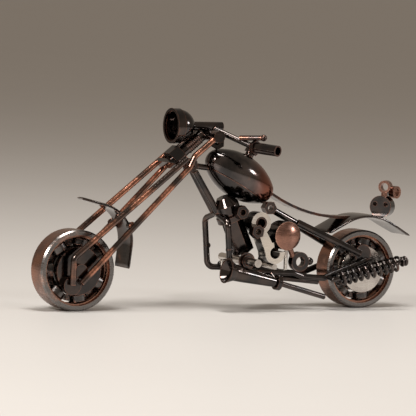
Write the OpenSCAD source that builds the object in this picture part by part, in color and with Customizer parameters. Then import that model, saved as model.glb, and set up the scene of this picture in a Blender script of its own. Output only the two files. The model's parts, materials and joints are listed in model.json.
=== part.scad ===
// Chopper motorcycle ornament welded from wire, ball bearings, nuts and sheet.
// +X points forward, +Y to the rider's left and +Z up. The origin is where the
// rear wheel touches the ground. Every length is in millimetres.

/* [Wheels] */
// Outer diameter of the ball bearing that serves as a wheel
wheel_d = 26; // [25:0.5:27]
// Width of the bearing
wheel_w = 8; // [7.5:0.25:8.5]
// Distance between the two axles
wheelbase = 105; // [104:0.5:106]

/* [Fork] */
// Angle of the steering axis above the ground
fork_slope = 39.1; // [38.8:0.1:39.4]
// Distance of the steering axis in front of the front axle
fork_offset = 5.7; // [5.5:0.1:5.9]
// Distance from the middle plane to the centre of each fork and rail wire
wire_half_w = 7.8; // [7.7:0.05:7.9]
// Diameter of the fork and rail wires
wire_d = 2; // [1.9:0.05:2]

/* [Frame] */
// Diameter of the thicker rods behind the tank
stay_d = 2.4; // [2.3:0.05:2.4]

/* [Tank] */
// Length of the tank from nose to tail
tank_len = 27; // [26.6:0.1:27.2]
// Greatest diameter of the tank
tank_d = 14.4; // [14.2:0.1:14.6]
// Thickness of the pressed sheet
sheet_t = 0.8; // [0.7:0.05:0.9]

/* [Mudguards] */
// Thickness of each mudguard strip
guard_t = 0.9; // [0.8:0.05:1]

/* [Hidden] */
$fn = 48;

// Colours of the finishes
black_nickel = [0.10, 0.09, 0.09];
copper = [0.62, 0.32, 0.22];
red_brown = [0.36, 0.15, 0.10];
bright = [0.80, 0.76, 0.72];

// Gaps: a running fit, and the hairline left between pressed parts
run_gap = 0.05;
hair_gap = 0.02;

// Bearing, worked out from the wheel
wheel_r = wheel_d / 2;
half_w = wheel_w / 2;
bore_r = 0.385 * wheel_r;
pitch_r = 0.7 * wheel_r;
ball_r = 0.183 * wheel_r;
ball_count = 7;
inner_land_r = pitch_r - 0.67 * ball_r;
outer_land_r = pitch_r + 0.67 * ball_r;
ring_face_r = 0.87 * wheel_r;
ring_recess = 0.9;
tread_chamfer = 0.5;
bearing_chamfer = 0.4;
cage_t = 0.5;
cage_half_w = 1;
rivet_r = 0.55;

// Hub: the washers clamp the inner ring between them
washer_t = 0.6;
hub_washer_r = inner_land_r + 0.2;
hub_neck_r = 1.5;
hub_head_r = 2.3;
hub_head_t = 1.7;
foot_r = 3;
foot_from = half_w + washer_t;
foot_to = wire_half_w - wire_d / 2;

rear_axle = [0, 0, wheel_r];
front_axle = [wheelbase, 0, wheel_r];
front_foot = front_axle + [3.1, 0, -4.5];
rear_foot = rear_axle + [1.4, 0, 5.4];

// Fork frame: a runs up the steering axis from the front axle, p runs forward
// and up across it
along = [-cos(fork_slope), 0, sin(fork_slope)];
across = [sin(fork_slope), 0, cos(fork_slope)];
function fork_point(a, p, y = 0) = front_axle + a * along + p * across + [0, y, 0];

// Stations up the steering axis
yoke_from = 46.4;
yoke_t = 1.6;
yoke_depth = 2.6;
head_from = 48.5;
head_len = 4;
head_flat_w = 6.6;
thread_from = 55;
thread_to = 60.6;
thread_depth = 0.25;
thread_pitch = 0.7;
stem_r = 2;
stem_end = 62;
clamp_at = 63.4;
clamp_r = 2;
clamp_point = fork_point(clamp_at, fork_offset - 1.1);

// Headlamp
lamp_r = 5.4;
lamp_centre = clamp_point + [10.4, 0, 2.9];
lamp_mouth = 2.6;
lamp_rim_r = 5.75;
lamp_seat = 3.9;
lamp_bolt_r = 1.5;
lamp_bolt_back = 16;

// Handlebars, grips and levers on the left side
grip_from = clamp_point + [-11.4, 13.5, -3.1];
grip_dir = unit([-0.36, 0.93, -0.05]);
grip_len = 8.9;
grip_r = 1.8;
grip_wall = 0.45;
collar_t = 1.3;
collar_flat_w = 4.4;
bar_from = clamp_point + [-2.4, 1.2, 2];
bar_to = grip_from - grip_dir * collar_t / 2;
lever_from = clamp_point + [-7.4, 9.2, -0.2];
lever_to = clamp_point + [-13.2, 14.6, 0.2];
lever_d = 1.7;

// Frame: the hoop stands on the two bottom rails, leaning a little forward
bend_r = 2.5;
bend_lap = 0.1;
nut_flat_w = 4;
nut_h = 2.8;
nut_hole_r = 1;
nut_space = nut_flat_w / 2 + 0.1;
neck_point = fork_point(53, fork_offset - head_flat_w / 2 - nut_flat_w / 2);
hoop_lean = 5.9;
hoop_peak_z = 31.2;
hoop_shoulder_z = 28.8;
hoop_joint_z = 20;
rail_z = 12.9;
function hoop_point(z, y) = [wheelbase - 53 + (z - rail_z) * tan(hoop_lean), y, z];

// Tank: a spun oval made of a barrel and two round ends, its axis sloping down
// to the rear, parted along a seam below the axis
tank_slope = 28.6;
tank_centre = [45.8, 0, 43.4];
tank_half = tank_len / 2;
tank_r = tank_d / 2;
tank_end_r = 0.6 * tank_r;
tank_end_x = tank_half - tank_end_r;
tank_side_r = (tank_end_x^2 + tank_r^2 - tank_end_r^2) / (2 * (tank_r - tank_end_r));
tank_side_x = tank_end_x * tank_side_r / (tank_side_r - tank_end_r);
seam_drop = 3.5;
seam_lip = 0.3;
cap_r = 2.1;

// Nut behind the tank, and the rod from it to the seat stays
tail_nut = [34.2, 0, 33];
rod_slope = 25.7;
rod_run = [-cos(rod_slope), 0, -sin(rod_slope)];
rod_len = 9.7;
rod_to = tail_nut + (nut_space + rod_len) * rod_run;
stay_from = rod_to + [0.9, stay_d / 2 + stay_d / 2 + hair_gap, 0.43];
stay_to = [rear_foot.x + 1.8, foot_to + stay_d / 2, rear_foot.z + 0.1];

// Mudguards
front_guard_w = 10;
front_guard_r = 12.6;
front_guard_centre = front_axle + [-6.1, 0, 8.9];
lug_at = [88, 27.5];
lug_r = 1.2;
rear_guard_w = 13;
rear_guard_r = 18.05;
rear_guard_centre = rear_axle + [-0.8, 0, -0.2];

// Seat strap: an arc about a point high above the rear wheel
strap_r = 53.2;
strap_w = 5;
strap_t = 0.9;
strap_centre = [7, 0, 83.3];

// Tail
drum_point = [-9.4, 0, 33.6];
drum_turn = -50;
tail_drum_r = 3.7;
tail_drum_w = 4.4;

// Engine
cylinder_tilt = 25;
cylinder_foot = [44.3, 2.2, 18.9];
cylinder_len = 11.5;
cylinder_flat_w = 6.2;
peg_x = 46.8;
peg_z = 16.3;
peg_r = 1.3;
peg_end = 17;
tie_x = 35.4;
tie_r = 0.9;
hook_ring_r = 3.6;
hook_hole_r = 2.1;
hook_top = [41.1, 28.6];
hook_foot = [tie_x, 18.8];
hook_from_y = 2.6;
hook_to_y = 7.8;
tie_z = hook_foot.y - hook_ring_r - tie_r;
drum_at = [31.6, 24.5];
drum_r = 4.7;
drum_face_y = 9;
stack_at = [25.9, 15.9];
stack_r = 3.2;
ball_bead_r = 1.3;

// Exhaust and spring
muffler_y = 11.6;
muffler_from = [55.5, muffler_y, 13.5];
muffler_to = [35.5, muffler_y, 9.3];
muffler_len = norm(muffler_from - muffler_to);
mouth_r = 4.1;
muffler_neck_r = 1.5;
tail_pipe_end = [18.4, muffler_y, 4.7];
spring_y = 11.3;
spring_from = [13.6, spring_y, 10.5];
spring_to = [-10.2, spring_y, 15.9];
spring_r = 2.4;
spring_wire_r = 0.5;
spring_pitch = 2.2;
spring_rod_r = 0.8;
spring_run = unit(spring_to - spring_from);

// ---------------------------------------------------------------- helpers

function unit(v) = v / norm(v);
function turn_at(path, i) = acos(unit(path[i] - path[i - 1]) * unit(path[i + 1] - path[i]));
// Where each leg ends: short of a corner by the bend, less a little overlap
function leg_cut(path, i, r) =
    i == 0 || i == len(path) - 1 ? 0 : r * tan(turn_at(path, i) / 2) - bend_lap;

// Places +Z of its children along the line from a towards b
module aim(a, b) {
    d = b - a;
    translate(a)
        rotate([0, acos(d.z / norm(d)), atan2(d.y, d.x)])
            children();
}

module rod(a, b, d) {
    aim(a, b)
        cylinder(h = norm(b - a), d = d);
}

// Places its children with their X, Y and Z along three given directions
module frame_at(at, x, y, z) {
    multmatrix([
        [x.x, y.x, z.x, at.x],
        [x.y, y.y, z.y, at.y],
        [x.z, y.z, z.z, at.z]
    ])
        children();
}

// Bend between two straight legs, a hair thicker than the wire so that the legs
// end inside it
module elbow(before, corner, after, d, r) {
    go_in = unit(corner - before);
    go_out = unit(after - corner);
    normal = unit(cross(go_in, go_out));
    to_centre = cross(normal, go_in);
    turn = acos(go_in * go_out);
    start = corner - go_in * r * tan(turn / 2);
    frame_at(start + to_centre * r, -to_centre, go_in, normal)
        rotate_extrude(angle = turn)
            translate([r, 0])
                circle(d = d + 2 * hair_gap);
}

// Round wire along a path, with the same bend radius at each corner
module wire(path, d, r = bend_r) {
    last = len(path) - 1;
    for (i = [0 : last - 1]) {
        run = unit(path[i + 1] - path[i]);
        rod(path[i] + leg_cut(path, i, r) * run, path[i + 1] - leg_cut(path, i + 1, r) * run, d);
    }
    for (i = [1 : last - 1])
        elbow(path[i - 1], path[i], path[i + 1], d, r);
}

module mirror_copy() {
    children();
    mirror([0, 1, 0])
        children();
}

// Cylinder with its axis along Y, from y0 to y1
module disc(x, z, y0, y1, r) {
    translate([x, y1, z])
        rotate([90, 0, 0])
            cylinder(h = y1 - y0, r = r);
}

// Ring with its axis along Y
module washer(x, z, y0, y1, r, hole_r) {
    difference() {
        disc(x, z, y0, y1, r);
        disc(x, z, y0 - 1, y1 + 1, hole_r);
    }
}

// Hexagonal nut standing on the origin, its axis along Z
module hex_nut(flat_w, h, hole_r) {
    difference() {
        cylinder(h = h, d = flat_w / cos(30), $fn = 6);
        translate([0, 0, -1])
            cylinder(h = h + 2, r = hole_r);
    }
}

// Puts a bearing part, drawn about Z, on an axle that lies along Y
module on_axle(axle) {
    translate(axle)
        rotate([90, 0, 0])
            children();
}

// ---------------------------------------------------------------- wheels

module outer_ring(axle) {
    on_axle(axle)
        rotate_extrude($fn = 96)
            difference() {
                polygon([
                    [outer_land_r, -half_w + ring_recess],
                    [ring_face_r, -half_w + ring_recess],
                    [ring_face_r, -half_w],
                    [wheel_r - tread_chamfer, -half_w],
                    [wheel_r, -half_w + tread_chamfer],
                    [wheel_r, half_w - tread_chamfer],
                    [wheel_r - tread_chamfer, half_w],
                    [ring_face_r, half_w],
                    [ring_face_r, half_w - ring_recess],
                    [outer_land_r, half_w - ring_recess]
                ]);
                translate([pitch_r, 0])
                    circle(r = ball_r + run_gap);
            }
}

module inner_ring(axle) {
    on_axle(axle)
        rotate_extrude($fn = 96)
            difference() {
                polygon([
                    [bore_r, -half_w],
                    [inner_land_r - bearing_chamfer, -half_w],
                    [inner_land_r, -half_w + bearing_chamfer],
                    [inner_land_r, half_w - bearing_chamfer],
                    [inner_land_r - bearing_chamfer, half_w],
                    [bore_r, half_w]
                ]);
                translate([pitch_r, 0])
                    circle(r = ball_r + run_gap);
            }
}

module at_balls() {
    for (i = [0 : ball_count - 1])
        rotate(i * 360 / ball_count)
            translate([pitch_r, 0, 0])
                children();
}

module balls(axle) {
    on_axle(axle)
        at_balls()
            sphere(r = ball_r);
}

// Ribbon cage: a flat ring that arches over each ball, riveted between the balls
module cage(axle) {
    on_axle(axle)
        difference() {
            union() {
                difference() {
                    cylinder(h = 2 * cage_t, r = pitch_r + cage_half_w, center = true);
                    cylinder(h = 2 * cage_t + 1, r = pitch_r - cage_half_w, center = true);
                }
                at_balls()
                    cage_tunnel(ball_r + 2 * run_gap + cage_t, cage_half_w);
                rotate(180 / ball_count)
                    at_balls()
                        cylinder(h = 4 * cage_t, r = rivet_r, center = true);
            }
            at_balls()
                cage_tunnel(ball_r + 2 * run_gap, 2 * cage_half_w);
        }
}

// Cylinder whose axis points away from the axle
module cage_tunnel(r, half_len) {
    rotate([0, 90, 0])
        cylinder(h = 2 * half_len, r = r, center = true);
}

// Plug that fills the bore, with a neck and a riveted head at each end
module hub(axle) {
    on_axle(axle) {
        cylinder(h = wheel_w, r = bore_r - hair_gap, center = true);
        cylinder(h = wheel_w + 2 * (washer_t + hub_head_t), r = hub_neck_r, center = true);
        for (side = [-1, 1])
            translate([0, 0, side * (half_w + washer_t + hub_head_t / 2)])
                cylinder(h = hub_head_t, r = hub_head_r, center = true);
    }
}

module hub_washers(axle) {
    mirror_copy()
        washer(axle.x, axle.z, half_w, half_w + washer_t, hub_washer_r, hub_neck_r + hair_gap);
}

// Disc welded on each hub washer, to which the wires are welded in turn
module feet(at) {
    mirror_copy()
        disc(at.x, at.z, foot_from, foot_to, foot_r);
}

// ---------------------------------------------------------------- fork

// Each runs beside the steering axis, then straight down to the foot
module fork_upper_wires() {
    leg_x = 3.5;
    corner_z = (fork_offset - leg_x * sin(fork_slope)) / cos(fork_slope);
    mirror_copy()
        wire([
            fork_point(50.6, fork_offset, wire_half_w),
            front_axle + [leg_x, wire_half_w, corner_z],
            front_axle + [leg_x, wire_half_w, -4.2]
        ], wire_d);
}

// Each hangs from the handlebar clamp, steps back at the head and runs to the
// foot
module fork_lower_wires() {
    mirror_copy()
        difference() {
            wire([
                fork_point(clamp_at, fork_offset - 1, wire_half_w),
                fork_point(53.2, fork_offset - 1, wire_half_w),
                fork_point(49.4, 2.9, wire_half_w),
                fork_point(-2.8, -2.5, wire_half_w)
            ], wire_d, 2);
            clamp_space();
        }
}

// Bolt on which the head turns: plain in the nut, threaded above it
module steering_stem() {
    base = fork_point(yoke_from + yoke_t, fork_offset);
    grooves = floor((thread_to - thread_from) / thread_pitch);
    difference() {
        aim(base, fork_point(stem_end, fork_offset))
            union() {
                cylinder(h = stem_end - yoke_from - yoke_t, r = stem_r);
                for (i = [0 : grooves - 1])
                    translate([0, 0, thread_from - yoke_from - yoke_t + i * thread_pitch])
                        thread_ridge();
            }
        clamp_space();
        lamp_bolt_space();
    }
}

module thread_ridge() {
    rotate_extrude()
        polygon([
            [0, 0],
            [stem_r, 0],
            [stem_r + thread_depth, thread_pitch / 2],
            [stem_r, thread_pitch],
            [0, thread_pitch]
        ]);
}

module lower_yoke() {
    translate(fork_point(yoke_from, fork_offset))
        rotate([0, fork_slope - 90, 0])
            translate([-yoke_depth / 2, -foot_to, 0])
                cube([yoke_depth, 2 * foot_to, yoke_t]);
}

module clamp_space() {
    disc(clamp_point.x, clamp_point.z, -20, 20, clamp_r + hair_gap);
}

module lamp_bolt_space() {
    translate([lamp_centre.x, 0, lamp_centre.z])
        rotate([0, -90, 0])
            cylinder(h = 2 * lamp_bolt_back, r = lamp_bolt_r + hair_gap);
}

// Cross tube that grips the lamp bolt in a saddle across its top
module handlebar_clamp() {
    clamp_end = wire_half_w + wire_d / 2 + 0.4;
    difference() {
        disc(clamp_point.x, clamp_point.z, -clamp_end, clamp_end, clamp_r);
        lamp_bolt_space();
    }
}

// Each is welded to the side of the lamp bolt and to a grip collar
module handlebars() {
    mirror_copy()
        difference() {
            rod(bar_from, bar_to, wire_d);
            lamp_bolt_space();
            clamp_space();
            collar();
        }
}

module grips() {
    mirror_copy()
        aim(grip_from, grip_from + grip_dir)
            difference() {
                cylinder(h = grip_len, r = grip_r);
                translate([0, 0, 0.8])
                    cylinder(h = grip_len, r = grip_r - grip_wall);
            }
}

module collar() {
    aim(grip_from, grip_from - grip_dir)
        cylinder(h = collar_t, d = collar_flat_w / cos(30), $fn = 6);
}

module grip_collars() {
    mirror_copy()
        collar();
}

module levers() {
    mirror_copy()
        difference() {
            union() {
                rod(lever_from, lever_to, lever_d);
                translate(lever_to)
                    sphere(d = lever_d * 1.3);
            }
            rod(bar_from, bar_to, wire_d + 2 * hair_gap);
            collar();
        }
}

// ---------------------------------------------------------------- headlamp

// Bowl with a heavy rim, open to the front
module lamp_shell() {
    translate(lamp_centre)
        rotate([0, 90, 0])
            difference() {
                union() {
                    difference() {
                        sphere(r = lamp_r);
                        translate([-10, -10, 0])
                            cube(20);
                        translate([-10, -10, -20 - lamp_seat - sheet_t])
                            cube(20);
                    }
                    cylinder(h = lamp_mouth, r = lamp_rim_r);
                }
                difference() {
                    sphere(r = lamp_r - sheet_t);
                    translate([-10, -10, -20 - lamp_seat])
                        cube(20);
                }
                cylinder(h = lamp_mouth + 1, r = lamp_r - sheet_t);
                translate([0, 0, lamp_mouth - 0.8])
                    cylinder(h = 2, r = lamp_r - 0.45);
                translate([0, 0, -10])
                    cylinder(h = 10, r = lamp_bolt_r + hair_gap);
            }
}

module lamp_bolt() {
    translate([lamp_centre.x - lamp_seat, 0, lamp_centre.z])
        rotate([0, 90, 0]) {
            cylinder(h = 1.2, r = 1.5 * lamp_bolt_r);
            translate([0, 0, lamp_seat - lamp_bolt_back])
                cylinder(h = lamp_bolt_back - lamp_seat, r = lamp_bolt_r);
        }
}

// ---------------------------------------------------------------- mudguards

// Strip rolled to an arc about Y, with a straight tail at each end. Angles are
// measured from +X towards +Z.
module strip(centre, r, from, to, tail_from, tail_to, width, t) {
    steps = ceil((to - from) / 4);
    function tangent(a) = [-sin(a), cos(a)];
    function side(side_r) = concat(
        [side_r * [cos(from), sin(from)] - tail_from * tangent(from)],
        [for (i = [0 : steps]) let (a = from + (to - from) * i / steps) side_r * [cos(a), sin(a)]],
        [side_r * [cos(to), sin(to)] + tail_to * tangent(to)]
    );
    inner = side(r - t / 2);
    translate(centre + [0, width / 2, 0])
        rotate([90, 0, 0])
            linear_extrude(width)
                polygon(concat(side(r + t / 2), [for (i = [len(inner) - 1 : -1 : 0]) inner[i]]));
}

module front_guard() {
    strip(front_guard_centre, front_guard_r, 103.5, 186, 7.8, 7, front_guard_w, guard_t);
}

// Short studs from the edges of the front mudguard to the lower fork wires
module guard_lugs() {
    difference() {
        mirror_copy()
            disc(lug_at.x, lug_at.y, front_guard_w / 2, wire_half_w, lug_r);
        fork_lower_wires();
    }
}

module rear_guard() {
    strip(rear_guard_centre, rear_guard_r, 62.7, 118, 7.6, 9.2, rear_guard_w, guard_t);
}

// ---------------------------------------------------------------- frame

// Big nut in which the steering stem turns
module head_nut() {
    aim(fork_point(head_from, fork_offset), fork_point(head_from + 1, fork_offset))
        rotate(30)
            hex_nut(head_flat_w, head_len, stem_r + run_gap);
}

// Nut with its axis along Y, turned by an angle about it
module side_nut(at, turn) {
    translate(at)
        rotate([0, turn, 0])
            translate([0, nut_h / 2, 0])
                rotate([90, 0, 0])
                    hex_nut(nut_flat_w, nut_h, nut_hole_r);
}

// Small nuts: under the head, behind the tank, beside the cylinder head and on
// the hook plate
module frame_nuts() {
    side_nut(neck_point, fork_slope);
    side_nut(tail_nut, 0);
    side_nut([49.2, 7 + nut_h / 2, 32.2], 15);
    side_nut([43.6, hook_to_y + nut_h / 2, 26], 20);
}

// Two straight tubes side by side, from the neck nut to the top of the hoop
module down_tubes() {
    difference() {
        down_tube_pair(wire_d);
        hoop_space();
    }
}

module down_tube_pair(d) {
    top = neck_point + [0, 1.1, 0];
    foot = hoop_point(hoop_peak_z, 1.7);
    mirror_copy()
        rod(top + (nut_space + 0.2) * unit(foot - top), foot, d);
}

// Wire bent to an upturned U with a low peak
module cradle_hoop() {
    wire([
        hoop_point(hoop_joint_z, wire_half_w),
        hoop_point(hoop_shoulder_z, wire_half_w),
        hoop_point(hoop_peak_z, 0),
        hoop_point(hoop_shoulder_z, -wire_half_w),
        hoop_point(hoop_joint_z, -wire_half_w)
    ], wire_d);
}

// Room for the two upper legs of the hoop
module hoop_space() {
    mirror_copy()
        rod(hoop_point(hoop_peak_z, 0), hoop_point(hoop_shoulder_z, wire_half_w), wire_d + 0.2);
}

// Each runs down from the hoop, back under the engine and up to the rear wheel
module bottom_rails() {
    mirror_copy()
        wire([
            hoop_point(hoop_joint_z, wire_half_w),
            hoop_point(rail_z, wire_half_w),
            [28.2, wire_half_w, 12.2],
            [24.8, wire_half_w, 11],
            [16.6, wire_half_w, 10.5],
            [rear_foot.x - 0.6, wire_half_w, rear_foot.z - 2.1]
        ], wire_d);
}

// Straight rods welded along the lower inner side of the bottom rails
module belly_rails() {
    mirror_copy()
        rod([40, wire_half_w - 1.7, 11.4], [18, wire_half_w - 1.7, 9.2], wire_d);
}

// One rod joins the neck nut to the tank, the other the tail nut to the stays
module backbone_rods() {
    neck_run = unit([-1, 0, -0.12]);
    difference() {
        rod(neck_point + 2.4 * neck_run, neck_point + 7 * neck_run, wire_d);
        in_tank()
            oval(seam_lip + hair_gap);
    }
    rod(tail_nut + nut_space * rod_run, rod_to, stay_d);
}

module seat_stays() {
    mirror_copy()
        difference() {
            rod(stay_from, stay_to, stay_d);
            disc(rear_foot.x, rear_foot.z, 0, foot_to, foot_r + hair_gap);
        }
}

// ---------------------------------------------------------------- tank

// Oval of revolution about X: two round ends and a barrel
module oval(grow) {
    rotate([0, 90, 0])
        rotate_extrude($fn = 96)
            intersection() {
                union() {
                    for (side = [-1, 1])
                        translate([0, side * tank_end_x])
                            circle(r = tank_end_r + grow);
                    intersection() {
                        translate([tank_r - tank_side_r, 0])
                            circle(r = tank_side_r + grow, $fn = 192);
                        translate([-tank_r, -tank_side_x])
                            square([3 * tank_r, 2 * tank_side_x]);
                    }
                }
                translate([0, -tank_len])
                    square([tank_d, 2 * tank_len]);
            }
}

module in_tank() {
    translate(tank_centre)
        rotate([0, -tank_slope, 0])
            children();
}

module tank_upper() {
    in_tank()
        intersection() {
            difference() {
                oval(0);
                oval(-sheet_t);
            }
            translate([-tank_len, -tank_len, -seam_drop])
                cube(2 * tank_len);
        }
}

// Shallow pan, a little proud of the upper half round the seam
module tank_lower() {
    in_tank()
        intersection() {
            difference() {
                oval(seam_lip);
                oval(-sheet_t);
            }
            translate([-tank_len, -tank_len, -seam_drop - 2 * tank_len])
                cube(2 * tank_len);
        }
}

module tank_cap() {
    in_tank()
        translate([0.3, 0, tank_r]) {
            cylinder(h = 0.9, r = cap_r * 0.7);
            translate([0, 0, 0.9])
                cylinder(h = 1.3, r = cap_r);
        }
}

// Thin strip from the tank's tail to the top of the rear mudguard, fitted to both
module seat_strap() {
    difference() {
        strip(strap_centre, strap_r, 268, 300, 2, 2, strap_w, strap_t);
        in_tank()
            oval(hair_gap);
        rear_guard_space();
    }
}

// ---------------------------------------------------------------- tail

module rear_guard_space() {
    r = rear_guard_r + guard_t / 2 + hair_gap;
    disc(rear_guard_centre.x, rear_guard_centre.z, -rear_guard_w, rear_guard_w, r);
}

// Drum standing on the rear mudguard, its drilled face turned to the left
module tail_drum() {
    difference() {
        drum_body(0);
        rear_guard_space();
        translate(drum_point)
            rotate(drum_turn)
                for (side = [-1, 1])
                    translate([side * 1.9, tail_drum_w / 2 + 1, 0.9])
                        rotate([90, 0, 0])
                            cylinder(h = 3, r = 0.75);
    }
}

module drum_body(grow) {
    translate(drum_point)
        rotate(drum_turn)
            rotate([90, 0, 0])
                cylinder(h = tail_drum_w + 2 * grow, r = tail_drum_r + grow, center = true);
}

// Two short tubes above the drum: the first stands on a stub, the second leans
// against it
module tail_rings() {
    first = [-10.3, 0, 40.2];
    difference() {
        union() {
            ring_at(first, drum_turn)
                tube(2.6, 2.1, 1.3);
            translate([first.x + 0.3, 0, first.z - 4.2])
                cylinder(h = 2.6, r = 1.1);
        }
        drum_body(hair_gap);
    }
    difference() {
        ring_at(first + [-3.6, 0, -1.8], 20)
            tube(2.2, 2.1, 1.2);
        drum_body(hair_gap);
        ring_at(first, drum_turn)
            cylinder(h = 2.8, r = 2.2, center = true);
    }
}

module ring_at(at, turn) {
    translate(at)
        rotate(turn)
            rotate([90, 0, 0])
                children();
}

module tube(h, r, hole_r) {
    difference() {
        cylinder(h = h, r = r, center = true);
        cylinder(h = h + 1, r = hole_r, center = true);
    }
}

// ---------------------------------------------------------------- engine

module on_cylinder(at) {
    translate(cylinder_foot)
        rotate([0, cylinder_tilt, 0])
            translate([0, 0, at])
                children();
}

module front_cylinder() {
    on_cylinder(0)
        rotate(30)
            cylinder(h = cylinder_len, d = cylinder_flat_w / cos(30), $fn = 6);
}

// Wide washer, collar and tapered cap, notched where the hoop and tubes pass
module cylinder_head() {
    difference() {
        on_cylinder(cylinder_len) {
            cylinder(h = 1.8, r = 4.7);
            translate([0, 0, 1.8])
                cylinder(h = 0.6, r = 3.4);
            translate([0, 0, 2.4])
                cylinder(h = 3, r = 4.1);
            translate([0, 0, 5.4])
                cylinder(h = 2.6, r1 = 4.1, r2 = 2.4);
        }
        hoop_space();
        translate(hoop_point(hoop_peak_z, 0))
            sphere(d = wire_d + 0.4);
        down_tube_pair(wire_d + 0.2);
    }
}

module rear_cylinder() {
    difference() {
        translate([33.4, -1.4, 14.6])
            rotate([0, -10, 0]) {
                cylinder(h = 9.4, d = 6 / cos(30), $fn = 6);
                translate([0, 0, 9.4])
                    cylinder(h = 2.6, r = 3.9);
            }
        tie(hair_gap);
    }
}

// Cross bar on the rails under the engine
module tie(grow) {
    disc(tie_x, tie_z, -wire_half_w, wire_half_w, tie_r + grow);
}

// The cross bar, a post under each end of the peg bar and one under the drum
module engine_struts() {
    post_y = wire_half_w - 0.6;
    tie(0);
    difference() {
        union() {
            mirror_copy()
                rod([peg_x, post_y, rail_z - 0.2], [peg_x, post_y, peg_z], 1.6);
            rod([31.1, post_y, 12.2], [31.1, post_y, drum_at.y - drum_r + 1], 1.2);
        }
        bottom_rails();
        disc(peg_x, peg_z, -20, 20, peg_r + hair_gap);
        disc(drum_at.x, drum_at.y, 0, 20, drum_r + hair_gap);
    }
}

// Thick plate: a ring, a stem and an open hook
module hook_plate() {
    translate([0, hook_to_y, 0])
        rotate([90, 0, 0])
            linear_extrude(hook_to_y - hook_from_y)
                difference() {
                    union() {
                        translate(hook_top)
                            circle(r = hook_ring_r);
                        translate(hook_foot)
                            circle(r = hook_ring_r);
                        polygon([
                            hook_top + [1.9, -1],
                            hook_top + [-1.6, -2],
                            hook_foot + [0.9, 2.6],
                            hook_foot + [3.6, 0]
                        ]);
                    }
                    translate(hook_top)
                        circle(r = hook_hole_r);
                    translate(hook_foot)
                        circle(r = 1.9);
                    translate(hook_foot)
                        polygon([[0, 0], [1.1, 5.2], [-5, 5], [-5, 0.6]]);
                }
}

module hook_tube() {
    washer(hook_top.x, hook_top.y, -hook_to_y, hook_to_y, hook_hole_r - hair_gap, 1.5);
}

module cap_drum() {
    disc(drum_at.x, drum_at.y, 3.2, drum_face_y, drum_r);
}

// Shallow dome: the part of a large ball that stands above the drum's face
module copper_cap() {
    dome_h = 1.5;
    dome_r = (drum_r^2 + dome_h^2) / (2 * dome_h);
    intersection() {
        translate([drum_at.x, drum_face_y + dome_h - dome_r, drum_at.y])
            sphere(r = dome_r, $fn = 96);
        disc(drum_at.x, drum_at.y, drum_face_y, drum_face_y + 3, drum_r + 1);
    }
}

// Short pin welded between the drum and the washers
module cap_knob() {
    difference() {
        rod([29.8, 7, 20.8], [28.3, 7, 17.6], 1.8);
        disc(drum_at.x, drum_at.y, 0, 20, drum_r + hair_gap);
        disc(stack_at.x, stack_at.y, 0, 20, stack_r + hair_gap);
    }
}

module washer_stack() {
    washer(stack_at.x, stack_at.y, 5.4, 6.4, stack_r, 1.6);
    washer(stack_at.x, stack_at.y, 6.4 + hair_gap, 7.2, stack_r - 0.5, 1.6);
    washer(stack_at.x, stack_at.y, 7.2 + hair_gap, 8, stack_r, 1.6);
}

module stack_ball() {
    translate([stack_at.x - stack_r - ball_bead_r, 6, stack_at.y])
        sphere(r = ball_bead_r);
}

// Lies across the engine from the right-hand rail and ends as the left footpeg
module peg_bar() {
    disc(peg_x, peg_z, -wire_half_w, peg_end, peg_r);
}

module peg_washers() {
    from = wire_half_w + wire_d / 2 + 0.2;
    washer(peg_x, peg_z, from, from + 0.6, 2.9, peg_r + hair_gap);
    washer(peg_x, peg_z, from + 0.6 + hair_gap, from + 1.4, 2.2, peg_r + hair_gap);
}

// ---------------------------------------------------------------- exhaust

// Trumpet with its open mouth to the front
module muffler() {
    wall = 0.5;
    body_r = 2.5;
    flare_r = 2.7;
    aim(muffler_to, muffler_from)
        rotate_extrude($fn = 64)
            polygon([
                [0, 0],
                [muffler_neck_r, 0],
                [body_r, muffler_len - 7],
                [flare_r, muffler_len - 3],
                [mouth_r, muffler_len],
                [mouth_r - wall, muffler_len],
                [flare_r - wall, muffler_len - 2.7],
                [body_r - wall, muffler_len - 7],
                [0, muffler_len - 7]
            ]);
}

// Ring round the neck of the muffler, with an arm up to the bottom rail
module muffler_clamp() {
    width = 1.6;
    run = unit(muffler_from - muffler_to);
    difference() {
        union() {
            aim(muffler_to, muffler_from)
                cylinder(h = width, r = muffler_neck_r + 0.9);
            rod(muffler_to + run * width / 2, [37, wire_half_w, 12.4], 1.4);
        }
        aim(muffler_to - run, muffler_from)
            cylinder(h = width + 2, r = muffler_neck_r + 0.3);
        bottom_rails();
    }
}

module tail_pipe() {
    run = unit(tail_pipe_end - muffler_to);
    rod(muffler_to + 0.15 * run, tail_pipe_end, 1.8);
}

// ---------------------------------------------------------------- spring

// One slice through a coil: the strip of angles over which a round wire,
// wound at the given pitch, crosses a level plane
module coil_slice() {
    steps = 4;
    half_angle = 360 * spring_wire_r / spring_pitch;
    function half_thick(t) = spring_wire_r * sqrt(max(0, 1 - t * t));
    outer = [for (i = [-steps : steps])
        let (t = i / steps, a = t * half_angle, r = spring_r - spring_wire_r + half_thick(t))
        r * [cos(a), sin(a)]];
    inner = [for (i = [steps - 1 : -1 : 1 - steps])
        let (t = i / steps, a = t * half_angle, r = spring_r - spring_wire_r - half_thick(t))
        r * [cos(a), sin(a)]];
    polygon(concat(outer, inner));
}

module spring() {
    len = norm(spring_to - spring_from);
    turns = len / spring_pitch;
    aim(spring_from, spring_to)
        linear_extrude(height = len, twist = -360 * turns, slices = ceil(14 * turns), $fn = 16)
            coil_slice();
}

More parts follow.
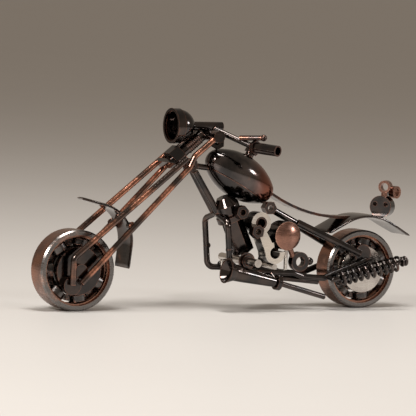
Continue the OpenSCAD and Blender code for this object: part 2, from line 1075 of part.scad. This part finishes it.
// Rod through the spring, bent in to the bottom rail at its front end and
// ringed at its rear end
module spring_rod() {
    ring_r = 0.5;
    elbow_point = spring_from - 1.6 * spring_run;
    difference() {
        union() {
            rod(elbow_point, spring_to + 3 * spring_run, 2 * spring_rod_r);
            translate(elbow_point)
                sphere(r = spring_rod_r);
            rod(elbow_point, [elbow_point.x, wire_half_w, 10.9], 2 * spring_rod_r);
            for (i = [0, 1])
                aim(spring_to + (0.9 + 1.2 * i) * spring_run, spring_to + 5 * spring_run)
                    rotate_extrude()
                        translate([spring_rod_r + 0.8 * ring_r, 0])
                            circle(r = ring_r);
        }
        bottom_rails();
    }
}

// ---------------------------------------------------------------- assembly

color(copper) outer_ring(front_axle);  // front_outer_ring
color(bright) inner_ring(front_axle);  // front_inner_ring
color(bright) balls(front_axle);  // front_balls
color(black_nickel) cage(front_axle);  // front_cage
color(black_nickel) hub(front_axle);  // front_hub
color(bright) hub_washers(front_axle);  // front_hub_washers
color(copper) outer_ring(rear_axle);  // rear_outer_ring
color(bright) inner_ring(rear_axle);  // rear_inner_ring
color(bright) balls(rear_axle);  // rear_balls
color(black_nickel) cage(rear_axle);  // rear_cage
color(black_nickel) hub(rear_axle);  // rear_hub
color(bright) hub_washers(rear_axle);  // rear_hub_washers
color(copper) fork_upper_wires();
color(copper) fork_lower_wires();
color(black_nickel) feet(front_foot);  // fork_feet
color(black_nickel) steering_stem();
color(black_nickel) lower_yoke();
color(black_nickel) handlebar_clamp();
color(black_nickel) handlebars();
color(black_nickel) grips();
color(black_nickel) grip_collars();
color(red_brown) levers();
color(black_nickel) lamp_shell();
color(black_nickel) lamp_bolt();
color(black_nickel) front_guard();
color(black_nickel) guard_lugs();
color(black_nickel) head_nut();
color(black_nickel) frame_nuts();
color(black_nickel) down_tubes();
color(black_nickel) cradle_hoop();
color(black_nickel) bottom_rails();
color(black_nickel) belly_rails();
color(black_nickel) backbone_rods();
color(black_nickel) seat_stays();
color(black_nickel) feet(rear_foot);  // rear_feet
color(red_brown) tank_upper();
color(black_nickel) tank_lower();
color(black_nickel) tank_cap();
color(red_brown) seat_strap();
color(black_nickel) rear_guard();
color(black_nickel) tail_drum();
color(copper) tail_rings();
color(black_nickel) front_cylinder();
color(black_nickel) cylinder_head();
color(black_nickel) rear_cylinder();
color(bright) engine_struts();
color(bright) hook_plate();
color(black_nickel) hook_tube();
color(black_nickel) cap_drum();
color(copper) copper_cap();
color(copper) cap_knob();
color(black_nickel) washer_stack();
color(black_nickel) stack_ball();
color(bright) peg_bar();
color(black_nickel) peg_washers();
color(black_nickel) muffler();
color(black_nickel) muffler_clamp();
color(black_nickel) tail_pipe();
color(black_nickel) spring();
color(black_nickel) spring_rod();
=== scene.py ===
# %% [markdown]
# # Chopper motorcycle ornament
#
# The real object looks welded from small hardware and then plated. The finish here is made as if copper
# went on first and a thin layer of black nickel over it, and handling then rubbed the nickel off the edges
# and high places, so that copper shows there. On the wires part of this copper is painted reflection.
# The CAD part supplies the solids. This lesson adds the finishes, replaces both mudguards and the spring
# with smoother surfaces, and adds small beads of weld.

# %% Setup
import json
import math

import bmesh
import bpy
import numpy as np
from mathutils import Matrix, Vector


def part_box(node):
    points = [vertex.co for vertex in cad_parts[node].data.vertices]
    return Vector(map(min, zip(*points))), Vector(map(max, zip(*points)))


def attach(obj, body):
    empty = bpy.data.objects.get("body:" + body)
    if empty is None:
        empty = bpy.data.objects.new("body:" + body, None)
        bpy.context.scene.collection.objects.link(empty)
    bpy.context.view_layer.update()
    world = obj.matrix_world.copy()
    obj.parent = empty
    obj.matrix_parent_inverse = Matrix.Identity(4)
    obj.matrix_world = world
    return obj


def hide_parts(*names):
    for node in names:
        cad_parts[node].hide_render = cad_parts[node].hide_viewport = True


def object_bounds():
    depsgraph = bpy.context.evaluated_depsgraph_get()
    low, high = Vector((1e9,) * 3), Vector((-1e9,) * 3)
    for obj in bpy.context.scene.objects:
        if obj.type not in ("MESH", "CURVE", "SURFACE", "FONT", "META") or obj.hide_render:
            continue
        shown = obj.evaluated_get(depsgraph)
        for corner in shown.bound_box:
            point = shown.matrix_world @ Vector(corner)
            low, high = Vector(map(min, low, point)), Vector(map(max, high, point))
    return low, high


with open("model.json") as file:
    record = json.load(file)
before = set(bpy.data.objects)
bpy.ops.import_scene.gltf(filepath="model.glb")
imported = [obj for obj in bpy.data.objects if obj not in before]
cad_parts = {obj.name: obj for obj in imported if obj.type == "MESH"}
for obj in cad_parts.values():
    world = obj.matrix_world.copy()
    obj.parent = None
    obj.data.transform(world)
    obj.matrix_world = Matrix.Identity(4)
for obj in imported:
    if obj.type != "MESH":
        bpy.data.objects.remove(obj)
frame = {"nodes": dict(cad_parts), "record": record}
cad_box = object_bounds()
MM = 0.001
rng = np.random.default_rng(7)
print("CAD box, mm:", [round(v / MM, 1) for v in (*cad_box[0], *cad_box[1])])

# %% [markdown]
# ## Where things are
#
# The axles are read from the CAD boxes. Scene lengths are in metres, so a length in millimetres is
# multiplied by MM.


# %% Points from the frame
def middle(node):
    """Centre of a CAD node's box, as a numpy point."""
    low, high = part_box(node)
    return (np.array(low) + np.array(high)) / 2


rear_axle = middle("rear_outer_ring")
front_axle = middle("front_outer_ring")
object_middle = (np.array(cad_box[0]) + np.array(cad_box[1])) / 2
print("axles, mm:", rear_axle / MM, front_axle / MM)

# %% [markdown]
# ## Finishes
#
# One recipe makes all the metals, because the real ones look like layers of the same two platings. It
# has four parts:
#
# * broad mottling, where the plating is thicker or thinner;
# * wear, where the surface turns sharply. A bevel node rounds the normal near an edge, so the dot product
#   of the rounded and the true normal falls below 1 only there. Noise breaks the line up;
# * fine scratches, as noise stretched along one direction, which change the roughness;
# * a small bump from the same noises.
#
# All of them read Object coordinates, so the pattern stays on a piece that turns.


# %% Material recipe
BLOTCH_SCALE = 160.0  # features about 6 mm across
GRAIN_SCALE = 1500.0  # features under 1 mm across
SCRATCH_SCALE = 420.0
SCRATCH_STRETCH = (1.0, 0.25, 6.0)
BLOTCH_DETAIL = 3.0
GRAIN_DETAIL = 5.0
SCRATCH_DETAIL = 6.0
MOTTLE_RANGE = (0.35, 0.65)  # noise values over which plate turns to mottle
BREAKUP_RANGE = (0.3, 0.6)
LEAST_BREAKUP = 0.25  # share of the wear that stays where the grain is darkest
PATCH_BELOW = 0.06  # a patch starts this far below its threshold
PATCH_ABOVE = 0.08  # and is full this far above it
SCRATCH_RANGE = (0.3, 0.7)
SMOOTHEST = 0.7  # times the roughness asked for, between scratches
ROUGHEST = 1.35  # times the roughness asked for, on a scratch
WORN_ROUGHER = 0.08
EDGE_RADIUS = 0.35 * MM
EDGE_STARTS = 0.99  # dot product at which an edge begins to wear
EDGE_FULL = 0.80  # dot product at which it is fully worn
EDGE_SAMPLES = 6
BUMP_HEIGHT = 0.1 * MM
FINE_SHARE = 0.6  # of the bump, from the grain
COARSE_SHARE = 0.4  # of the bump, from the mottling


def link(tree, source, target):
    """Joins one socket to another."""
    tree.links.new(source, target)


def add_noise(tree, coordinates, scale, detail=4.0, stretch=None):
    """Noise texture on the given coordinates, stretched by a scale per axis if one is given."""
    if stretch is not None:
        mapping = tree.nodes.new("ShaderNodeMapping")
        mapping.inputs["Scale"].default_value = stretch
        link(tree, coordinates, mapping.inputs["Vector"])
        coordinates = mapping.outputs["Vector"]
    noise = tree.nodes.new("ShaderNodeTexNoise")
    noise.inputs["Scale"].default_value = scale
    noise.inputs["Detail"].default_value = detail
    link(tree, coordinates, noise.inputs["Vector"])
    return noise.outputs["Fac"]


def add_range(tree, value, from_low, from_high, to_low, to_high):
    """Smoothly maps a value from one range to another."""
    node = tree.nodes.new("ShaderNodeMapRange")
    node.interpolation_type = "SMOOTHSTEP"
    node.inputs["From Min"].default_value = from_low
    node.inputs["From Max"].default_value = from_high
    node.inputs["To Min"].default_value = to_low
    node.inputs["To Max"].default_value = to_high
    link(tree, value, node.inputs["Value"])
    return node.outputs["Result"]


def add_math(tree, operation, first, second):
    """One arithmetic node. Either input may be a number or a socket."""
    node = tree.nodes.new("ShaderNodeMath")
    node.operation = operation
    node.use_clamp = operation in ("ADD", "MAXIMUM")
    for socket, value in zip(node.inputs, (first, second)):
        if isinstance(value, (int, float)):
            socket.default_value = value
        else:
            link(tree, value, socket)
    return node.outputs["Value"]


def add_mix(tree, factor, first, second):
    """Mixes two colours, each a socket or three numbers."""
    node = tree.nodes.new("ShaderNodeMix")
    node.data_type = "RGBA"
    link(tree, factor, node.inputs["Factor"])
    for socket, value in zip((node.inputs[6], node.inputs[7]), (first, second)):
        if isinstance(value, tuple):
            socket.default_value = (*value, 1.0)
        else:
            link(tree, value, socket)
    return node.outputs[2]


def add_edge(tree, radius):
    """About 0 on flat ground, and up to 1 within a radius of a sharp edge."""
    bevel = tree.nodes.new("ShaderNodeBevel")
    bevel.samples = EDGE_SAMPLES
    bevel.inputs["Radius"].default_value = radius
    geometry = tree.nodes.new("ShaderNodeNewGeometry")
    dot = tree.nodes.new("ShaderNodeVectorMath")
    dot.operation = "DOT_PRODUCT"
    link(tree, bevel.outputs["Normal"], dot.inputs[0])
    link(tree, geometry.outputs["Normal"], dot.inputs[1])
    return add_range(tree, dot.outputs["Value"], EDGE_STARTS, EDGE_FULL, 0.0, 1.0)


def add_zone(tree, coordinates, axis, start, end):
    """Rises from 0 to 1 as the distance from the origin along one axis goes from start to end."""
    parts = tree.nodes.new("ShaderNodeSeparateXYZ")
    link(tree, coordinates, parts.inputs["Vector"])
    distance = add_math(tree, "ABSOLUTE", parts.outputs[axis], 0.0)
    return add_range(tree, distance, start, end, 0.0, 1.0)


def plated(name, plate, mottle, under, rubbed, roughness, wear=1.0, bump=0.04, zone=None):
    """Plated metal.

    plate and mottle are the two tones of the top layer, and under is the layer below it. A higher rubbed
    shows the layer below on more of the open surface, where the broad noise passes 0.75 - 0.5·rubbed. wear
    scales how much shows on each edge. zone is (colour, axis, start, end): the top layer turns to that
    colour as the distance along that axis goes from start to end.
    """
    material = bpy.data.materials.new(name)
    material.use_nodes = True
    tree = material.node_tree
    shader = tree.nodes["Principled BSDF"]
    coordinates = tree.nodes.new("ShaderNodeTexCoord").outputs["Object"]

    broad = add_noise(tree, coordinates, BLOTCH_SCALE, BLOTCH_DETAIL)
    grain = add_noise(tree, coordinates, GRAIN_SCALE, GRAIN_DETAIL)
    scratches = add_noise(tree, coordinates, SCRATCH_SCALE, SCRATCH_DETAIL, SCRATCH_STRETCH)

    top = add_mix(tree, add_range(tree, broad, *MOTTLE_RANGE, 0.0, 1.0), plate, mottle)
    if zone:
        colour, axis, start, end = zone
        top = add_mix(tree, add_zone(tree, coordinates, axis, start, end), top, colour)
    breakup = add_range(tree, grain, *BREAKUP_RANGE, LEAST_BREAKUP, 1.0)
    broken_edge = add_math(tree, "MULTIPLY", add_edge(tree, EDGE_RADIUS), breakup)
    edge = add_math(tree, "MULTIPLY", broken_edge, wear)
    threshold = 0.75 - 0.5 * rubbed
    strongest = min(1.0, 0.35 + rubbed)
    patch = add_range(tree, broad, threshold - PATCH_BELOW, threshold + PATCH_ABOVE, 0.0, strongest)
    share = add_math(tree, "MAXIMUM", edge, add_math(tree, "MULTIPLY", patch, breakup))
    link(tree, add_mix(tree, share, top, under), shader.inputs["Base Color"])

    rough = add_range(tree, scratches, *SCRATCH_RANGE, roughness * SMOOTHEST, roughness * ROUGHEST)
    rough = add_math(tree, "ADD", rough, add_math(tree, "MULTIPLY", share, WORN_ROUGHER))
    link(tree, rough, shader.inputs["Roughness"])
    shader.inputs["Metallic"].default_value = 1.0

    bump_node = tree.nodes.new("ShaderNodeBump")
    bump_node.inputs["Strength"].default_value = bump
    bump_node.inputs["Distance"].default_value = BUMP_HEIGHT
    fine = add_math(tree, "MULTIPLY", grain, FINE_SHARE)
    coarse = add_math(tree, "MULTIPLY", broad, COARSE_SHARE)
    link(tree, add_math(tree, "ADD", fine, coarse), bump_node.inputs["Height"])
    link(tree, bump_node.outputs["Normal"], shader.inputs["Normal"])
    return material


# %% [markdown]
# ## The ten finishes
#
# Most of the object is black nickel. Three finishes change along an axis. The bearing rings turn from
# copper brown on the tread to dark steel on their faces. The tank turns from nickel to red brown towards
# its tail. The hook plate is polished on its left face and dark behind it.

# %% Palette
NICKEL = (0.050, 0.047, 0.047)
NICKEL_WARM = (0.085, 0.068, 0.062)
COPPER = (0.56, 0.25, 0.165)
COPPER_PALE = (0.62, 0.36, 0.27)
BROWN = (0.24, 0.075, 0.042)
STEEL = (0.62, 0.58, 0.54)
CREAM = (0.76, 0.69, 0.61)
RING_FACE = (0.17, 0.16, 0.155)
TREAD = (0.33, 0.155, 0.10)
TREAD_DARK = (0.19, 0.105, 0.08)
STEEL_DULL = (0.36, 0.32, 0.30)
BALL = (0.26, 0.24, 0.24)
BALL_DARK = (0.18, 0.16, 0.16)
CAGE = (0.12, 0.11, 0.105)
COPPER_DARK = (0.30, 0.145, 0.095)
TANK_GREY = (0.125, 0.105, 0.10)
BROWN_DARK = (0.13, 0.058, 0.038)
CAP = (0.33, 0.17, 0.125)
CAP_DARK = (0.20, 0.11, 0.085)
CREAM_PALE = (0.88, 0.82, 0.75)

TAIL_CAP = 2 * MM  # length at the tail that is fully brown
tank_low, tank_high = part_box("tank_upper")
tank_zone = (BROWN, 0, (tank_low.x + tank_high.x) / 2, tank_low.x + TAIL_CAP)
FACE_START = 3.35 * MM  # distance from the middle plane where the tread's colour begins to change
FACE_FULL = 3.55 * MM
face_zone = (RING_FACE, 1, FACE_START, FACE_FULL)
plate_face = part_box("hook_plate")[1].y
SIDE_START = 0.25 * MM  # depth behind the left face where it begins to darken
SIDE_FULL = 0.6 * MM
side_zone = (NICKEL, 1, plate_face - SIDE_START, plate_face - SIDE_FULL)
finishes = {
    "black_nickel": plated("black_nickel", NICKEL, NICKEL_WARM, COPPER, 0.10, 0.13, wear=0.55),
    "tread_steel": plated("tread_steel", TREAD, TREAD_DARK, COPPER_PALE, 0.2, 0.24, wear=0.4, zone=face_zone),
    "worn_steel": plated("worn_steel", STEEL, STEEL_DULL, CREAM, 0.30, 0.20),
    "ball_steel": plated("ball_steel", BALL, BALL_DARK, STEEL, 0.20, 0.10, bump=0.01),
    "cage_steel": plated("cage_steel", CAGE, NICKEL, COPPER, 0.10, 0.25, wear=0.5),
    # The wires' large copper share is partly rubbed-through copper and partly painted reflection: it stands
    # in for the copper highlight that the wires show.
    "copper_wire": plated("copper_wire", NICKEL_WARM, COPPER_DARK, COPPER, 0.44, 0.16),
    "tank_finish": plated("tank_finish", NICKEL, TANK_GREY, COPPER, 0.05, 0.12, bump=0.012, zone=tank_zone),
    "red_copper": plated("red_copper", BROWN_DARK, NICKEL, COPPER, 0.12, 0.20, wear=0.4),
    "rubbed_copper": plated("rubbed_copper", CAP, CAP_DARK, COPPER_PALE, 0.2, 0.28, wear=0.6),
    "polished_steel": plated("polished_steel", CREAM, STEEL, CREAM_PALE, 0.30, 0.18, zone=side_zone),
}
print("finishes:", len(finishes))

# %% [markdown]
# ## Finish the CAD nodes
#
# The record names a material slot for every node. Each CAD node takes the finish of that name.

# %% Finish the CAD nodes
for row in frame["record"]["subparts"]:
    node = frame["nodes"][row["node"]]
    node.data.materials.clear()
    node.data.materials.append(finishes[row["material_slot"]])

# %% [markdown]
# ## Surfaces from formulas
#
# Each new piece is a grid of points, rows along the piece and columns round its section, that closes at
# both ends with a fan of triangles.


# %% Grid to mesh
def closed_grid(rows, columns):
    """Faces of a tube whose rows of points run round it, with one extra point at each end: start, end."""
    index = np.arange(rows * columns).reshape(rows, columns)
    ahead = np.roll(index, -1, axis=1)
    sides = np.stack([index[:-1], ahead[:-1], ahead[1:], index[1:]], axis=-1).reshape(-1, 4)
    start, end = rows * columns, rows * columns + 1
    fans = [(start, b, a) for a, b in zip(index[0], ahead[0])]
    fans += [(end, a, b) for a, b in zip(index[-1], ahead[-1])]
    return [tuple(face) for face in sides.tolist()] + fans


def build(name, grid, material, body, replaced=()):
    """Makes a smooth piece from a grid of points (rows, columns, 3), or from a list of such grids.

    body is the body that it moves with, and replaced lists the CAD nodes that it stands in for.
    """
    grids = grid if isinstance(grid, list) else [grid]
    points, faces = [], []
    for part in grids:
        offset = sum(len(p) for p in points)
        rows, columns = part.shape[:2]
        points.append(np.concatenate([part.reshape(-1, 3), part[:1].mean(1), part[-1:].mean(1)]))
        faces += [tuple(i + offset for i in face) for face in closed_grid(rows, columns)]
    mesh = bpy.data.meshes.new(name)
    mesh.from_pydata(np.concatenate(points).tolist(), [], faces)
    outward(mesh)
    mesh.polygons.foreach_set("use_smooth", np.ones(len(mesh.polygons), bool))
    mesh.materials.append(finishes[material])
    piece = bpy.data.objects.new(name, mesh)
    bpy.context.scene.collection.objects.link(piece)
    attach(piece, body)
    if replaced:
        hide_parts(*replaced)
    print(name, len(mesh.vertices), "points")
    return piece


def outward(mesh):
    """Turns the faces of closed shells to point outwards."""
    shell = bmesh.new()
    shell.from_mesh(mesh)
    bmesh.ops.recalc_face_normals(shell, faces=shell.faces)
    shell.to_mesh(mesh)
    shell.free()


# %% [markdown]
# ## Mudguards
#
# These are strips cut from sheet and bent round a former. A cut edge is never square: filing and plating
# round it. The section is a superellipse, |y/a|^m + |n/b|^m = 1 with m = 5, and it droops a little
# towards its edges. The profile is an arc with a straight tail at each end, and the tip can narrow to a
# tongue.


# %% Bent strips
def strip_profile(centre, radius, start, end, tail_start, tail_end, count=90):
    """Points and outward normals in the XZ plane, evenly spaced along an arc with straight tails.

    start and end are in degrees from +X towards +Z. A point on the arc is c + R(cos a, 0, sin a).
    """
    start, end = math.radians(start), math.radians(end)
    arc = radius * (end - start)
    s = np.linspace(-tail_start, arc + tail_end, count)
    angle = start + np.clip(s, 0, arc) / radius
    normal = np.stack([np.cos(angle), np.zeros(count), np.sin(angle)], axis=1)
    tangent = np.stack([-np.sin(angle), np.zeros(count), np.cos(angle)], axis=1)
    over = s - np.clip(s, 0, arc)
    return centre + radius * normal + over[:, None] * tangent, normal


START_EASE = 0.3  # share of the length over which the start narrows
END_EASE = 0.2
ROUNDED_ROWS = 3  # rows of points over which each cut end is rounded
THINNEST = 0.02  # square of the share of the thickness that is left at the very end
SQUARENESS = 5  # the superellipse's m


def strip_grid(profile, width, thick, droop, tip_start=1.0, tip_end=1.0, columns=40):
    """Ribbon along a profile, whose width eases to tip_start and tip_end of itself at its ends.

    With C = sgn(cos v)|cos v|^(2/m) and S = sgn(sin v)|sin v|^(2/m), a section point lies w/2·C across the
    sheet and t/2·S - droop·C² through it.
    """
    points, normals = profile
    t = np.linspace(0, 1, len(points))
    ease = 0.5 - 0.5 * np.cos(np.pi * np.clip(t / START_EASE, 0, 1))
    ease_end = 0.5 - 0.5 * np.cos(np.pi * np.clip((1 - t) / END_EASE, 0, 1))
    share = (tip_start + (1 - tip_start) * ease) * (tip_end + (1 - tip_end) * ease_end)
    edge = np.minimum(t, 1 - t) * len(points) / ROUNDED_ROWS
    rounding = np.sqrt(np.clip(1 - (1 - np.clip(edge, 0, 1)) ** 2, THINNEST, 1))
    v = np.linspace(0, 2 * np.pi, columns, endpoint=False)
    power = 2 / SQUARENESS
    across = np.sign(np.cos(v)) * np.abs(np.cos(v)) ** power
    through = np.sign(np.sin(v)) * np.abs(np.sin(v)) ** power
    y = 0.5 * width * share[:, None] * across
    n = 0.5 * thick * rounding[:, None] * through - droop * (across**2) * share[:, None]
    return points[:, None, :] + y[..., None] * np.array([0, 1, 0]) + n[..., None] * normals[:, None, :]


SHEET = 0.9 * MM
# Each arc's centre is given from its wheel's axle.
front_profile = strip_profile(
    centre=front_axle + np.array([-6.1, 0, 8.9]) * MM,
    radius=12.6 * MM, start=103.5, end=186, tail_start=7.8 * MM, tail_end=7 * MM,
)
rear_profile = strip_profile(
    centre=rear_axle + np.array([-0.8, 0, -0.2]) * MM,
    radius=18.05 * MM, start=62.7, end=118, tail_start=7.6 * MM, tail_end=9.2 * MM,
)
front_strip = strip_grid(front_profile, width=10 * MM, thick=SHEET, droop=0.25 * MM, tip_start=0.35)
rear_strip = strip_grid(rear_profile, width=13 * MM, thick=SHEET, droop=0.2 * MM, tip_end=0.85)
build("front_guard_strip", front_strip, "black_nickel", "fork", ["front_guard"])
build("rear_guard_strip", rear_strip, "black_nickel", "frame", ["rear_guard"])

# %% [markdown]
# ## Coil spring
#
# A real spring is round wire wound on a mandrel. Its axis is found from the CAD node: the first principal
# direction of its points. The helix is c + u·s + R(e1·cos(a) + e2·sin(a)), and the wire's ring lies
# across the helix's own tangent. The pitch tightens a little towards both ends.


# %% Spring
def node_points(node):
    """All vertices of a CAD node, as rows of a numpy array."""
    mesh = frame["nodes"][node].data
    points = np.zeros(len(mesh.vertices) * 3)
    mesh.vertices.foreach_get("co", points)
    return points.reshape(-1, 3)


END_TIGHTEN = 0.02  # the pitch at the very ends falls by 2π times this, about 13 %


def spring_grid(node, wire_r, pitch, per_turn=28, columns=12):
    """Closed tube wound where the CAD node's coil is."""
    points = node_points(node)
    centre = (points.min(0) + points.max(0)) / 2
    direction = np.linalg.svd(points - points.mean(0), full_matrices=False)[2][0]
    direction *= -np.sign(direction[0])  # it may come with either sign, so it is made to point backwards
    along = (points - centre) @ direction
    radial = points - centre - along[:, None] * direction
    coil_r = np.linalg.norm(radial, axis=1).max() - wire_r
    low, high = along.min() + wire_r, along.max() - wire_r
    turns = (high - low) / pitch
    t = np.linspace(0, 1, int(turns * per_turn))
    s = low + (high - low) * (t - END_TIGHTEN * np.sin(2 * np.pi * t))
    angle = 2 * np.pi * turns * t
    side = np.cross(direction, [0, 1, 0])
    side /= np.linalg.norm(side)
    other = np.cross(direction, side)
    out = np.cos(angle)[:, None] * side + np.sin(angle)[:, None] * other
    line = centre + s[:, None] * direction + coil_r * out
    tangent = np.gradient(line, axis=0)
    tangent /= np.linalg.norm(tangent, axis=1)[:, None]
    third = np.cross(tangent, out)
    v = np.linspace(0, 2 * np.pi, columns, endpoint=False)
    ring = np.cos(v)[None, :, None] * out[:, None, :] + np.sin(v)[None, :, None] * third[:, None, :]
    return line[:, None, :] + wire_r * ring


coil = spring_grid("spring", wire_r=0.5 * MM, pitch=2.2 * MM)
build("spring_coil", coil, "black_nickel", "frame", ["spring"])

# %% [markdown]
# ## Beads of weld
#
# The wires are joined with small lumpy beads of weld. Each bead is a sphere flattened along Y, with a
# radius r(1 + k·sin(3a + p)·cos(2b)), where a and b are its two angles, k is the lumpiness and p is drawn
# for each bead.


# %% Weld beads
LUMPINESS = 0.12
POLE_GAP = 0.12  # radians from each pole to the first ring of points


def bead_grid(centre, radius, flat=0.75, rows=14, columns=20):
    """Lumpy ball: rows run from pole to pole."""
    b = np.linspace(POLE_GAP, np.pi - POLE_GAP, rows)[:, None]
    a = np.linspace(0, 2 * np.pi, columns, endpoint=False)[None, :]
    phase = rng.uniform(0, 2 * np.pi)
    r = radius * (1 + LUMPINESS * np.sin(3 * a + phase) * np.cos(2 * b))
    shape = np.stack([r * np.sin(b) * np.cos(a), flat * r * np.sin(b) * np.sin(a), r * np.cos(b)], axis=-1)
    return centre + shape


def both_sides(points):
    """The points and their mirror images in the middle plane."""
    points = np.array(points)
    return np.concatenate([points, points * [1, -1, 1]])


WIRE_Y = 7.8 * MM  # distance of the wires from the middle plane
hoop_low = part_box("cradle_hoop")[0]
RAIL_IN = 0.8 * MM  # in front of the hoop's rearmost point
PEG_UP = 1.6 * MM  # above the struts' lowest point
LUG_IN = 0.6 * MM  # inside the wires
rail_joint = [hoop_low.x + RAIL_IN, WIRE_Y, hoop_low.z]
peg_joint = [middle("peg_bar")[0], WIRE_Y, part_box("engine_struts")[0].z + PEG_UP]
lug = middle("guard_lugs")
fork_beads = both_sides([[lug[0], WIRE_Y - LUG_IN, lug[2]]])
frame_beads = both_sides([rail_joint, peg_joint])
FORK_BEAD = 1.35 * MM
FRAME_BEAD = 1.25 * MM
build("fork_welds", [bead_grid(point, FORK_BEAD) for point in fork_beads], "red_copper", "fork")
build("frame_welds", [bead_grid(point, FRAME_BEAD) for point in frame_beads], "black_nickel", "frame")

# %% [markdown]
# ## Floor and light
#
# A plain pale floor that runs past the edges of the view, under an even warm room light. Three square
# lights, above, to the front left and to the rear left, give the highlights that dark plating needs.


# %% Stage
FLOOR_SCALE = 12.0  # changes of tone about 8 cm across
DARKER = 0.96


def flat_material(name, colour, roughness):
    """Plain surface with a faint change of tone."""
    material = bpy.data.materials.new(name)
    material.use_nodes = True
    tree = material.node_tree
    shader = tree.nodes["Principled BSDF"]
    coordinates = tree.nodes.new("ShaderNodeTexCoord").outputs["Object"]
    tone = add_noise(tree, coordinates, FLOOR_SCALE, BLOTCH_DETAIL)
    darker = tuple(DARKER * c for c in colour)
    link(tree, add_mix(tree, tone, colour, darker), shader.inputs["Base Color"])
    shader.inputs["Roughness"].default_value = roughness
    return material


def panel(name, corners, material):
    """One four-sided panel."""
    mesh = bpy.data.meshes.new(name)
    mesh.from_pydata(corners, [], [(0, 1, 2, 3)])
    mesh.materials.append(material)
    piece = bpy.data.objects.new(name, mesh)
    bpy.context.scene.collection.objects.link(piece)


def area_light(name, place, size, power, colour):
    """Square light that faces the middle of the object."""
    data = bpy.data.lights.new(name, "AREA")
    data.shape = "SQUARE"
    data.size = size
    data.energy = power
    data.color = colour
    light = bpy.data.objects.new(name, data)
    light.location = place
    aim = object_middle - np.array(place)
    light.rotation_euler = Vector(aim).to_track_quat("-Z", "Y").to_euler()
    bpy.context.scene.collection.objects.link(light)


REACH = 20.0  # metres from the middle of the floor to each side
FLOOR_COLOUR = (0.50, 0.48, 0.46)
FLOOR_ROUGHNESS = 0.45
floor_corners = [(-REACH, -REACH, 0), (REACH, -REACH, 0), (REACH, REACH, 0), (-REACH, REACH, 0)]
panel("table", floor_corners, flat_material("table_top", FLOOR_COLOUR, FLOOR_ROUGHNESS))

# Places and sizes are in metres, and powers in watts.
area_light("top_light", place=(0.10, 0.12, 0.75), size=0.28, power=6.0, colour=(1.0, 0.98, 0.95))
area_light("front_light", place=(0.62, 0.35, 0.42), size=0.16, power=4.2, colour=(1.0, 0.97, 0.93))
area_light("rear_light", place=(-0.50, 0.45, 0.30), size=0.11, power=1.6, colour=(0.97, 0.98, 1.0))

ROOM_COLOUR = (0.40, 0.34, 0.28, 1.0)
ROOM_STRENGTH = 0.8
world = bpy.data.worlds.new("room")
world.use_nodes = True
background = world.node_tree.nodes["Background"]
background.inputs["Color"].default_value = ROOM_COLOUR
background.inputs["Strength"].default_value = ROOM_STRENGTH
bpy.context.scene.world = world
bpy.context.scene.view_settings.view_transform = "Standard"
print("lights:", [(light.name, light.energy) for light in bpy.data.lights])

# %% [markdown]
# ## Camera
#
# The camera looks from the front left, a little above the floor, with a long lens. It leans a little to
# one side.

# %% Camera
YAW = math.radians(28.52)
ELEVATION = math.radians(4.16)
ROLL = math.radians(2.47)
DISTANCE = 1.0985  # metres
LENS = 292.3  # millimetres
FARTHEST = 20  # metres
TARGET = Vector((56.89 * MM, 0, 32.85 * MM))
level_reach = math.cos(ELEVATION)
back = Vector((math.sin(YAW) * level_reach, math.cos(YAW) * level_reach, math.sin(ELEVATION)))
level = (-back).cross(Vector((0, 0, 1))).normalized()
upright = level.cross(-back)
right = level * math.cos(ROLL) + upright * math.sin(ROLL)
up = -level * math.sin(ROLL) + upright * math.cos(ROLL)
camera_data = bpy.data.cameras.new("camera")
camera_data.lens = LENS
camera_data.clip_end = FARTHEST
camera = bpy.data.objects.new("camera", camera_data)
turn = Matrix((right, up, back)).transposed().to_4x4()
camera.matrix_world = Matrix.Translation(TARGET + back * DISTANCE) @ turn
bpy.context.scene.collection.objects.link(camera)
bpy.context.scene.camera = camera
print("camera, m:", [round(v, 3) for v in camera.matrix_world.translation])
